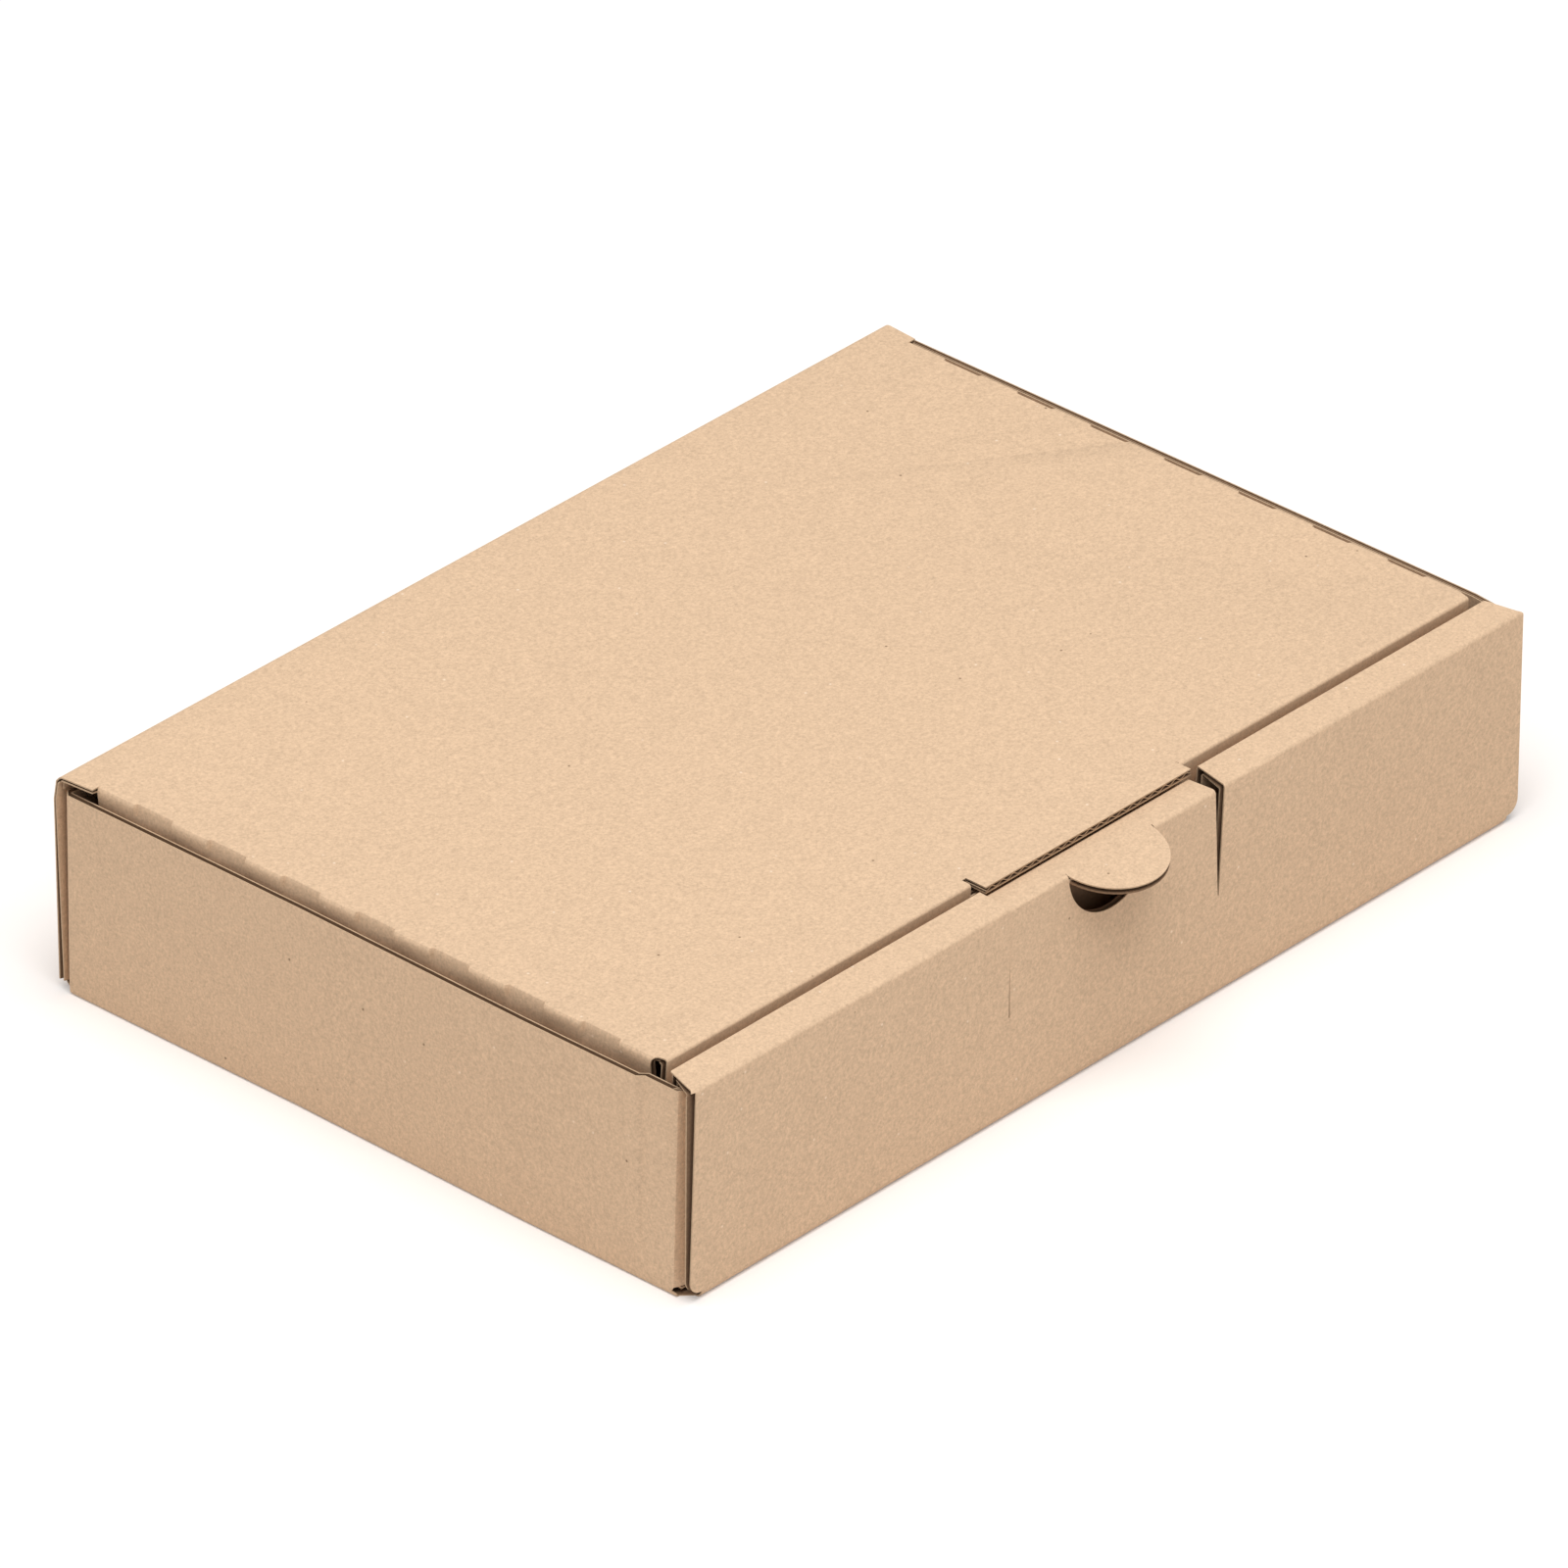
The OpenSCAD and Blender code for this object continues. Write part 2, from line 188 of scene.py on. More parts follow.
# %% [markdown]
# The outer liner of a real fold isn't a true arc. At a crease it is pressed tighter, or it bulges. So
# a fold can be given a new shape, row by row. A row is found by its angle on the arc, seen from the
# fold's centre: outward on one axis and up or down on the other.


# %% Reshaping a fold
def reshape_fold(centre, outward, upward, radius, rows, test):
    """Moves rows of a fold. A direction is an axis number and a sign; a row is its angle and new place."""
    (out_axis, out_sign), (up_axis, up_sign) = outward, upward
    for degrees, (new_out, new_up) in rows:
        turn = math.radians(degrees)
        old_out, old_up = radius * math.sin(turn), radius * math.cos(turn)
        was, step = Vector(centre), Vector((0, 0, 0))
        was[out_axis] += out_sign * old_out
        was[up_axis] += up_sign * old_up
        step[out_axis] = out_sign * (new_out - old_out)
        step[up_axis] = up_sign * (new_up - old_up)
        in_row = lambda p: near(p[out_axis], was[out_axis]) and near(p[up_axis], was[up_axis])
        pick("VERT", lambda p, n: in_row(p) and test(p))
        move(*step)


def tight(radius, new_radius, total=90, steps=FOLD_STEPS):
    """The rows of a fold with a smaller radius that touches the same two flat panels."""
    shift = radius - new_radius
    rows = []
    for step in range(steps + 1):
        turn = math.radians(total * step / steps)
        out = radius * math.sin(turn) + shift * (math.tan(math.radians(total / 2)) - math.sin(turn))
        up = radius * math.cos(turn) + shift * (1 - math.cos(turn))
        rows.append((total * step / steps, (out, up)))
    return rows


def flattened(radius, share, steps=FOLD_STEPS):
    """The rows of a quarter fold that is pressed flat towards a straight chamfer."""
    rows = []
    for step in range(1, steps):
        turn = math.radians(90 * step / steps)
        out, up = radius * math.sin(turn), radius * math.cos(turn)
        flat_out, flat_up = radius * step / steps, radius * (1 - step / steps)
        rows.append((90 * step / steps, (out + (flat_out - out) * share, up + (flat_up - up) * share)))
    return rows


# %% [markdown]
# ## The board
#
# The board is 1.5 mm thick: two liners of 0.3 mm with a fluted sheet of 0.2 mm between them, one
# flute every 3.2 mm. All flutes run the same way through the flat sheet, from front to back.

# %% Sizes of the board
BOARD = 1.5
LINER = 0.3
MEDIUM = 0.2
PITCH = 3.2
FOLD_IN = 0.3
FOLD_OUT = FOLD_IN + BOARD

# The material slots that all boards share, in the order of the finishes.
FACE, EDGE, FLUTE, INSIDE, FLUTE_EDGE = 0, 1, 2, 3, 4

# %% [markdown]
# ## Tray: floor and short walls
#
# The tray starts as the floor's lower face. All its panels hang together, as on the real sheet: the
# short walls turn up from the floor, and each carries two corner flaps that turn in behind the front
# and back walls. Only the outer face is drawn now; the board gets its thickness later.

# %% Sizes of the tray
WALL_X, WALL_Z = 121.5, 45.7
FRONT_Y, BACK_Y, ROLL_Y = -84.75, 84.75, -76.55
LEDGE_Z, LID_Z = 48.0, 49.0
FLOOR_X, FLOOR_Y = WALL_X - FOLD_OUT, BACK_Y - FOLD_OUT
FLAP_PLAY = 0.2
FLAP_Y = BACK_Y - BOARD - FLAP_PLAY
CORNER_OUT = {-1: 2.2, 1: 1.6}
WALL_Y = {end: FLAP_Y - out for end, out in CORNER_OUT.items()}
FLAP_LENGTH, FLAP_SLANT = 38.0, 3.3


# %% A flat panel
def start_panel(name, x, y_front, y_back, z):
    """A flat panel at height z, as wide as x on both sides."""
    bpy.ops.mesh.primitive_plane_add(size=2 * MM, location=(0, (y_front + y_back) / 2 * MM, z * MM))
    panel = bpy.context.object
    panel.name = name
    bpy.ops.object.transform_apply(location=True, rotation=False, scale=False)
    into_edit(panel)
    bpy.ops.mesh.select_all(action="SELECT")
    middle = (0, (y_front + y_back) / 2 * MM, z * MM)
    bpy.ops.transform.resize(value=(x, (y_back - y_front) / 2, 1), center_override=middle)
    out_of_edit()
    return panel


# %% Floor, short walls and corner flaps
tray_sheet = start_panel("tray_sheet", FLOOR_X, -FLOOR_Y, FLOOR_Y, 0)
into_edit(tray_sheet)
slice_at(1, (-WALL_Y[-1], WALL_Y[1]))
for side in (-1, 1):
    pick("EDGE", lambda p, d: near(p.x, side * FLOOR_X) and -WALL_Y[-1] < p.y < WALL_Y[1])
    fold((side * FLOOR_X, 0, FOLD_OUT), (0, 1, 0), -90 * side)
    extrude(0, 0, WALL_Z - FOLD_OUT)
    for end in (-1, 1):
        at_wall_end = lambda p: near(p.x, side * WALL_X) and near(p.y, end * WALL_Y[end])
        pick("EDGE", lambda p, d: at_wall_end(p) and abs(d.z) > 0.9 and p.z > 5)
        flap_start = WALL_X - CORNER_OUT[end]
        fold((side * flap_start, end * WALL_Y[end], 0), (0, 0, 1), 90 * side * end)
        extrude(-side * FLAP_LENGTH, 0, 0)
        flap_end = flap_start - FLAP_LENGTH
        at_flap_end = lambda p: near(p.x, side * flap_end) and near(p.y, end * FLAP_Y)
        pick("VERT", lambda p, n: at_flap_end(p) and p.z > 30)
        move(0, 0, -FLAP_SLANT)
        pick("VERT", lambda p, n: at_flap_end(p) and 1 < p.z < 30)
        move(0, 0, FLAP_SLANT)

# %% [markdown]
# The upright corners at the front are crushed on the real box: the board is pinched in behind the
# front wall and no longer round. So each row of that fold gets its own place, as seen from above.
# The short walls are also cut across in a few places, because they will lean out unevenly, and a
# flat face can bend only where it has an edge.

# %% Crushed front corners
CRUSHED = (
    (0, (-1.25, 2.2)), (15, (-0.85, 1.95)), (30, (-0.6, 1.4)), (45, (-0.35, 0.8)), (60, (0.3, 0.0)),
    (75, (1.2, -0.8)), (90, (2.2, -1.4)))
LEFT_BENDS, RIGHT_BENDS = (-71.4, -70.0, -40, 20), (-72.0,)
for side in (-1, 1):
    centre = (side * (WALL_X - CORNER_OUT[-1]), -WALL_Y[-1], 0)
    reshape_fold(centre, (1, -1), (0, side), CORNER_OUT[-1], CRUSHED, lambda p: p.z > 1)
for side, bends in ((-1, LEFT_BENDS), (1, RIGHT_BENDS)):
    in_length = lambda p, n: -WALL_Y[-1] < p.y < WALL_Y[1] and abs(n.y) < 0.1
    slice_at(1, bends, lambda p, n: p.x * side > FLOOR_X + 0.01 and in_length(p, n))
out_of_edit()
print("floor and short walls:", len(tray_sheet.data.polygons), "faces")

# %% [markdown]
# ## Tray: front wall rolled over, and back wall
#
# The front wall goes up, turns in to make the ledge, and goes down again on the inside to the floor.
# It is wider than the floor and has rounded lower corners, so the edge is scaled a little wider with
# each short extrusion. The back wall stops in the middle of the fold that carries the lid.

# %% Front wall and ledge
FRONT_X, CORNER_R, CORNER_STEPS = 123.0, 3.0, 6
LEDGE_RISE, PANEL_GAP = 0.45, 0.3


def widen(x_now, x_new):
    bpy.ops.transform.resize(value=(x_new / x_now, 1, 1), center_override=(0, 0, 0))


into_edit(tray_sheet)
pick("EDGE", lambda p, d: near(p.y, -FLOOR_Y) and near(p.z, 0))
fold((0, -FLOOR_Y, FOLD_OUT), (1, 0, 0), -90)
x_now, z_now = FLOOR_X, FOLD_OUT
for step in range(1, CORNER_STEPS + 1):
    turn = math.radians(90 / CORNER_STEPS * step)
    x_new = FRONT_X - CORNER_R + CORNER_R * math.sin(turn)
    z_new = FOLD_OUT + CORNER_R * (1 - math.cos(turn))
    extrude(0, 0, z_new - z_now)
    widen(x_now, x_new)
    x_now, z_now = x_new, z_new
extrude(0, 0, LEDGE_Z - FOLD_OUT - z_now)
fold((0, -FLOOR_Y, LEDGE_Z - FOLD_OUT), (1, 0, 0), -90)
extrude(0, ROLL_Y - FRONT_Y - 2 * FOLD_OUT, 0)
fold((0, ROLL_Y - FOLD_OUT, LEDGE_Z - FOLD_OUT), (1, 0, 0), -90)
extrude(0, 0, -(LEDGE_Z - FOLD_OUT - BOARD - PANEL_GAP))
in_roll_fold = lambda p: ROLL_Y - FOLD_OUT - 0.1 < p.y < ROLL_Y + 0.1
pick("VERT", lambda p, n: in_roll_fold(p) and p.z > LEDGE_Z - FOLD_OUT - 0.1)
move(0, 0, LEDGE_RISE)
out_of_edit()

# %% Back wall
BACK_X, BACK_FOOT_X, BACK_BEND_Z = 122.3, 121.5, 44.0
BACK_STEP, FOLD_SHORT, CREASE_SHORT = 0.4, 0.6, 1.3
into_edit(tray_sheet)
pick("EDGE", lambda p, d: near(p.y, FLOOR_Y) and near(p.z, 0))
fold((0, FLOOR_Y, FOLD_OUT), (1, 0, 0), 90)
extrude(0, 0, BACK_STEP)
widen(FLOOR_X, BACK_FOOT_X)
extrude(0, 0, BACK_BEND_Z - FOLD_OUT - BACK_STEP)
widen(BACK_FOOT_X, BACK_X)
extrude(0, 0, LID_Z - FOLD_OUT - BACK_BEND_Z)
widen(BACK_X, BACK_X - FOLD_SHORT)
fold((0, FLOOR_Y, LID_Z - FOLD_OUT), (1, 0, 0), 45, steps=3)
widen(BACK_X - FOLD_SHORT, BACK_X - CREASE_SHORT)
out_of_edit()
print("with front and back wall:", len(tray_sheet.data.polygons), "faces")

# %% [markdown]
# ## Tray: cuts of the die
#
# Two slits free the middle of the ledge, the tongue, which the lid's lip presses down. The left slit is
# only a thin cut, and the right one opens towards the top, where the board was strained. The ends of
# the ledge are cut at a slant. In the floor, two slots take the lock tabs of the roll-over.

# %% Slits and tongue
TONGUE_X, SLIT_Z = 31.0, 23.0
SLIT_FOOT, SLIT_TOP = 0.15, {(-1, -1): 0.15, (-1, 1): 0.15, (1, -1): 0.8, (1, 1): 1.3}
SLIT_TEAR = 1.0
TONGUE_DROP, TONGUE_IN, TONGUE_SAG = 0.7, 0.5, 0.35
above_slit = lambda p: p.z > SLIT_Z + 1 and p.y < ROLL_Y + 0.1
in_tongue = lambda p: abs(p.x) < TONGUE_X
into_edit(tray_sheet)
in_roll = lambda p, n: p.z > 2 and (near(p.y, FRONT_Y) or near(p.y, ROLL_Y))
slice_at(0, [s * TONGUE_X + t * SLIT_FOOT for s in (-1, 1) for t in (-1, 1)])
slice_at(2, [SLIT_Z], in_roll)
pick("FACE", lambda p, n: near(abs(p.x), TONGUE_X, 0.1) and p.y < ROLL_Y + 0.1 and p.z > SLIT_Z)
bpy.ops.mesh.delete(type="FACE")
pick("VERT", lambda p, n: in_tongue(p) and above_slit(p))
move(0, 0, -TONGUE_DROP)
pick("VERT", lambda p, n: in_tongue(p) and above_slit(p) and in_roll_fold(p))
move(0, 0, -LEDGE_RISE - TONGUE_SAG)
pick("VERT", lambda p, n: in_tongue(p) and above_slit(p) and p.y < FRONT_Y + FOLD_OUT + 0.1)
move(0, TONGUE_IN, 0)
for side in (-1, 1):
    for edge_side in (-1, 1):
        edge_x = side * TONGUE_X + edge_side * SLIT_FOOT
        pick("VERT", lambda p, n: near(p.x, edge_x) and above_slit(p))
        move(edge_side * (SLIT_TOP[side, edge_side] - SLIT_FOOT), 0, 0)
panel_end = TONGUE_X + SLIT_TOP[1, 1]
pick("VERT", lambda p, n: near(p.x, panel_end) and above_slit(p) and in_roll_fold(p))
move(SLIT_TEAR, 0, 0)
out_of_edit()
print("slits at x", [s * TONGUE_X for s in (-1, 1)])

# %% [markdown]
# The pull tab is cut free of the front panel, so it stays flat with the ledge when the panel is folded
# down. A straight strip is extruded from the ledge first. Its end is then trimmed round by cuts that
# touch a circle, one after the other.

# %% Pull tab
TAB_X, TAB_R, HOLE_R, TAB_SET_BACK, TAB_HANG = -0.7, 12.6, 12.75, 1.4, 2.0
TONGUE_Z, TONGUE_Y = LEDGE_Z - TONGUE_DROP, FRONT_Y + TONGUE_IN
TAB_STEP = 7.5
into_edit(tray_sheet)
in_rim = lambda p, n: p.z > TONGUE_Z - FOLD_OUT and abs(p.x - TAB_X) < TONGUE_X and p.y < ROLL_Y
slice_at(0, [TAB_X + s * r for s in (-1, 1) for r in (TAB_R, HOLE_R)], in_rim)
ledge_edge_y = TONGUE_Y + FOLD_OUT
pick("FACE", lambda p, n: in_rim(p, n) and p.y < ledge_edge_y and abs(p.x - TAB_X) < HOLE_R)
bpy.ops.mesh.delete(type="FACE")
pick("EDGE", lambda p, d: near(p.y, ledge_edge_y) and near(p.z, TONGUE_Z) and abs(p.x - TAB_X) < TAB_R)
tab_centre_y = TONGUE_Y + TAB_SET_BACK
extrude(0, tab_centre_y - TAB_R - ledge_edge_y, 0)
turn = 180 + TAB_STEP
while turn < 360:
    out = Vector((math.cos(math.radians(turn)), math.sin(math.radians(turn)), 0))
    touch = Vector((TAB_X, tab_centre_y, 0)) + out * TAB_R
    pick("FACE", lambda p, n: near(p.z, TONGUE_Z) and p.y < ledge_edge_y and abs(p.x - TAB_X) < TAB_R)
    bpy.ops.mesh.bisect(plane_co=touch * MM, plane_no=out, clear_outer=True)
    turn += TAB_STEP
hang = math.atan2(TAB_HANG, ledge_edge_y - tab_centre_y + TAB_R)
pick("VERT", lambda p, n: near(p.z, TONGUE_Z) and p.y < ledge_edge_y - 0.05 and abs(p.x - TAB_X) < HOLE_R)
bpy.ops.transform.rotate(
    value=-hang, orient_axis="X", orient_type="GLOBAL",
    center_override=(0, ledge_edge_y * MM, TONGUE_Z * MM))
out_of_edit()
tab_tip_z = min(v.co.z for v in tray_sheet.data.vertices if v.co.y < (FRONT_Y - 5) * MM) / MM
print("tab tip at z", round(tab_tip_z, 2))

# %% Ledge ends, lock tabs and slots
LEDGE_REAR_X = 119.5
LOCK_X, LOCK_HALF, LOCK_PLAY = 64.0, 15.0, 0.3
into_edit(tray_sheet)
run = Vector((LEDGE_REAR_X - FRONT_X, ROLL_Y - FRONT_Y)).normalized()
in_ledge = lambda p: p.y < ROLL_Y + 0.1 and p.z > LEDGE_Z - FOLD_OUT
in_panel = lambda p: near(p.y, ROLL_Y) and p.z > 2
for side in (-1, 1):
    pick("FACE", lambda p, n: in_ledge(p) or in_panel(p))
    bpy.ops.mesh.bisect(
        plane_co=(side * FRONT_X * MM, FRONT_Y * MM, 0),
        plane_no=(side * run.y, -run.x, 0), clear_outer=True)
tab_edges = [s * LOCK_X + t * LOCK_HALF for s in (-1, 1) for t in (-1, 1)]
slot_edges = [s * LOCK_X + t * (LOCK_HALF + LOCK_PLAY) for s in (-1, 1) for t in (-1, 1)]
slice_at(0, tab_edges, lambda p, n: in_panel(p))
pick("EDGE", lambda p, d: near(p.y, ROLL_Y) and near(p.z, BOARD + PANEL_GAP) and near(abs(p.x), LOCK_X))
extrude(0, 0, -BOARD)
in_floor = lambda p, n: near(p.z, 0) and abs(n.z) > 0.9
slice_at(0, slot_edges, in_floor)
slice_at(1, (ROLL_Y - BOARD - LOCK_PLAY, ROLL_Y + LOCK_PLAY), in_floor)
pick("FACE", lambda p, n: near(p.z, 0) and near(p.y, ROLL_Y - BOARD / 2, 0.5) and near(abs(p.x), LOCK_X, 1))
bpy.ops.mesh.delete(type="FACE")
face_out(lambda p, n: near(p.z, 0) and n.z > 0.9)
out_of_edit()
print("cut tray sheet:", len(tray_sheet.data.polygons), "faces")

# %% [markdown]
# ## Lid
#
# The lid starts as its flat top. At the sides and at the front its edge is folded down into flaps
# that stand inside the tray. In the middle of the front the top runs on flat as a short lip, and the
# flap has a notch there. The side flaps stop short of the crease and of the front flap. They spring
# inwards a little, so they lean, and at the fold their front edge runs back in a short curve.

# %% Sizes of the lid
SIDE_X = 119.5
TOP_X = SIDE_X - FOLD_OUT
TOP_Y = -72.45
SIDE_FRONT_Y, SIDE_BACK_Y = -72.2, BACK_Y - 9.2
SIDE_DEPTH, SIDE_CUT, SIDE_LEAN = 28.0, 12.0, 0.12
TUCK_X, TUCK_TURN, TUCK_STEPS, TUCK_R = 118.4, 94.0, 5, 0.7
TUCK_DEPTH, TUCK_CUT = 22.0, 10.0
LIP_ENDS, LIP_Y, LIP_CUT_Y = (-29.7, 30.9), -77.05, -71.9
NOTCH_ENDS, LIP_NOTCH = (-30.9, 31.05), 0.85
SIDE_CURVE = (0, 0.4, 0.8, 1.1, 1.3, 1.45, 1.5)
BARE_X, CREASE_X = BACK_X - 1.4, BACK_X - 0.8

# %% Top, side flaps and crease
lid_sheet = start_panel("lid_sheet", TOP_X, TOP_Y, FLOOR_Y, LID_Z)
into_edit(lid_sheet)
slice_at(1, (SIDE_FRONT_Y, SIDE_BACK_Y))
for side in (-1, 1):
    pick("EDGE", lambda p, d: near(p.x, side * TOP_X) and SIDE_FRONT_Y < p.y < SIDE_BACK_Y)
    fold((side * TOP_X, 0, LID_Z - FOLD_OUT), (0, 1, 0), 90 * side)
    for length in (SIDE_DEPTH - SIDE_CUT, SIDE_CUT):
        extrude(-side * SIDE_LEAN * length, 0, -length)
    foot_z = LID_Z - FOLD_OUT - SIDE_DEPTH
    in_flap = lambda p: p.x * side > TOP_X - 5
    for end_y, inward in ((SIDE_FRONT_Y, 1), (SIDE_BACK_Y, -1)):
        pick("VERT", lambda p, n: in_flap(p) and near(p.z, foot_z) and near(p.y, end_y))
        move(0, inward * SIDE_CUT, 0)
    in_side_fold = lambda p: p.x * side > TOP_X - 0.1
    for row, curve in enumerate(SIDE_CURVE):
        row_z = LID_Z - FOLD_OUT + FOLD_OUT * math.cos(math.radians(90 / FOLD_STEPS * row))
        pick("VERT", lambda p, n: in_side_fold(p) and near(p.z, row_z) and near(p.y, SIDE_FRONT_Y))
        move(0, curve, 0)
    pick("VERT", lambda p, n: in_flap(p) and p.z < 40 and p.y < SIDE_FRONT_Y + SIDE_CUT + 0.1)
    move(0, SIDE_CURVE[-1], 0)
    pick("EDGE", lambda p, d: near(p.x, side * TOP_X) and near(p.z, LID_Z) and p.y > SIDE_BACK_Y)
    extrude(side * (BARE_X - TOP_X), 0, 0)
    pick("VERT", lambda p, n: near(p.x, side * BARE_X) and near(p.y, FLOOR_Y))
    move(side * (CREASE_X - BARE_X), 0, 0)
    pick("VERT", lambda p, n: near(p.x, side * TOP_X) and near(p.y, TOP_Y))
    move(side * (TUCK_X - TOP_X), 0, 0)
pick("EDGE", lambda p, d: near(p.y, FLOOR_Y) and near(p.z, LID_Z) and abs(d.x) > 0.9)
fold((0, FLOOR_Y, LID_Z - FOLD_OUT), (1, 0, 0), -45, steps=3)
out_of_edit()

# %% Front flap and lip
into_edit(lid_sheet)
slice_at(0, NOTCH_ENDS + LIP_ENDS)
beside_lip = lambda p: p.x < NOTCH_ENDS[0] or p.x > NOTCH_ENDS[1]
pick("EDGE", lambda p, d: near(p.y, TOP_Y) and near(p.z, LID_Z) and beside_lip(p))
fold((0, TOP_Y, LID_Z - FOLD_OUT), (1, 0, 0), TUCK_TURN, steps=TUCK_STEPS)
slope = math.radians(TUCK_TURN - 90)
for length in (LIP_NOTCH, TUCK_DEPTH - TUCK_CUT - LIP_NOTCH, TUCK_CUT):
    extrude(0, length * math.sin(slope), -length * math.cos(slope))
for side in (-1, 1):
    at_foot = lambda p: p.y < -60 and p.z < LID_Z - FOLD_OUT - TUCK_DEPTH + 1
    pick("VERT", lambda p, n: near(p.x, side * TUCK_X) and at_foot(p))
    move(-side * TUCK_CUT, 0, 0)
fold_end_z = LID_Z - FOLD_OUT + FOLD_OUT * math.cos(math.radians(TUCK_TURN))
notch_z = fold_end_z - LIP_NOTCH * math.cos(slope)
at_notch = lambda p: near(p.x, NOTCH_ENDS[0]) or near(p.x, NOTCH_ENDS[1])
pick("EDGE", lambda p, d: at_notch(p) and abs(d.z) > 0.9 and p.z < notch_z)
bpy.ops.mesh.bridge_edge_loops()
pick("EDGE", lambda p, d: near(p.y, TOP_Y) and near(p.z, LID_Z) and LIP_ENDS[0] < p.x < LIP_ENDS[1])
extrude(0, LIP_Y - TOP_Y, 0)
slice_at(1, [LIP_CUT_Y], lambda p, n: near(p.z, LID_Z))
pick("FACE", lambda p, n: near(p.z, LID_Z) and NOTCH_ENDS[0] < p.x < LIP_ENDS[0] and p.y < LIP_CUT_Y)
bpy.ops.mesh.delete(type="FACE")
face_out(lambda p, n: near(p.z, LID_Z) and n.z < -0.9)
out_of_edit()
print("lid sheet:", len(lid_sheet.data.polygons), "faces")

# %% [markdown]
# ## From sheet to board
#
# The drawn sheet is the outer face of the board. A copy with Solidify makes the outer liner; a second
# copy, shrunk along its normals, makes the inner liner. A third copy lies in the middle, is sliced
# six times for each flute and gets its wave by moving the slices up and down.


# %% Liners
def copy_of(piece, name):
    only(piece)
    bpy.ops.object.duplicate()
    made = bpy.context.object
    made.name = name
    return made


def give_thickness(piece, thickness, offset, face, behind, rim):
    """Thickens a sheet. Its faces, the new faces behind them and the rim get their own materials."""
    piece.data.materials.clear()
    for finish in finishes:
        piece.data.materials.append(finish)
    for polygon in piece.data.polygons:
        polygon.material_index = face
    solid = piece.modifiers.new("thickness", "SOLIDIFY")
    solid.thickness = thickness * MM
    solid.offset = offset
    solid.use_even_offset = True
    solid.material_offset = behind - face
    solid.material_offset_rim = rim - face
    only(piece)
    bpy.ops.object.modifier_apply(modifier=solid.name)


def sink(piece, depth):
    """Moves a sheet into the board, against its normals."""
    into_edit(piece)
    bpy.ops.mesh.select_all(action="SELECT")
    bpy.ops.transform.shrink_fatten(value=-depth * MM, use_even_offset=True)
    out_of_edit()


def outer_liner(sheet, name, marks=()):
    liner = copy_of(sheet, name)
    for mark in marks:
        mark(liner)
    give_thickness(liner, LINER, -1, FACE, FLUTE, EDGE)
    return liner


def inner_liner(sheet, name, marks=()):
    liner = copy_of(sheet, name)
    sink(liner, BOARD - LINER)
    for mark in marks:
        mark(liner)
    give_thickness(liner, LINER, -1, FLUTE, INSIDE, EDGE)
    return liner


# %% Fluted sheet
WAVE = (0.0, 1.0, 1.0, 0.0, -1.0, -1.0)
GLUE_GAP = 0.02
WAVE_HEIGHT = (BOARD / 2 - LINER - MEDIUM / 2) - GLUE_GAP


def fluted(sheet, name, keep, axis, reach, marks=()):
    """Copies the faces to keep and waves them across X, Y or Z. What lies beyond the reach is cut off."""
    medium = copy_of(sheet, name)
    into_edit(medium)
    pick("FACE", lambda p, n: not keep(p, n))
    bpy.ops.mesh.delete(type="FACE")
    out_of_edit()
    sink(medium, BOARD / 2)
    step = PITCH / len(WAVE)
    low, high = reach
    places = range(math.ceil(low / step), math.floor(high / step) + 1)
    into_edit(medium)
    slice_at(axis, [place * step for place in places])
    for height in (1.0, -1.0):
        def on_wave(p, n):
            place = p[axis] / step
            whole = round(place)
            return near(place, whole, 0.02) and WAVE[whole % len(WAVE)] == height
        pick("VERT", on_wave)
        bpy.ops.transform.shrink_fatten(value=height * WAVE_HEIGHT * MM)
    pick("FACE", lambda p, n: not places[0] * step < p[axis] < places[-1] * step)
    bpy.ops.mesh.delete(type="FACE")
    out_of_edit()
    for mark in marks:
        mark(medium)
    give_thickness(medium, MEDIUM, 0, FLUTE, FLUTE, FLUTE_EDGE)
    return medium


def join(name, pieces):
    only(pieces[0])
    for piece in pieces:
        piece.select_set(True)
    bpy.ops.object.join()
    made = bpy.context.object
    made.name = name
    made.data.name = name
    return made


# %% [markdown]
# ## Finishes
#
# Kraft liner is brown paper with a fine, cloudy grain. A few fibres and specks in it are lighter or
# darker than the rest. The colour is worked out in maths nodes, so a small class lets the maths be
# written with the usual signs.


# %% Node helpers
class Value:
    """An output of a node, ready for plain arithmetic."""

    def __init__(self, finish, socket):
        self.finish, self.socket = finish, socket

    def maths(self, how, first, second):
        node = self.finish.add("ShaderNodeMath", {"operation": how}, {0: first, 1: second})
        return Value(self.finish, node.outputs[0])

    def __add__(self, other):
        return self.maths("ADD", self, other)

    def __radd__(self, other):
        return self.maths("ADD", other, self)

    def __sub__(self, other):
        return self.maths("SUBTRACT", self, other)

    def __rsub__(self, other):
        return self.maths("SUBTRACT", other, self)

    def __mul__(self, other):
        return self.maths("MULTIPLY", self, other)

    def __rmul__(self, other):
        return self.maths("MULTIPLY", other, self)

    def __lt__(self, other):
        return self.maths("LESS_THAN", self, other)


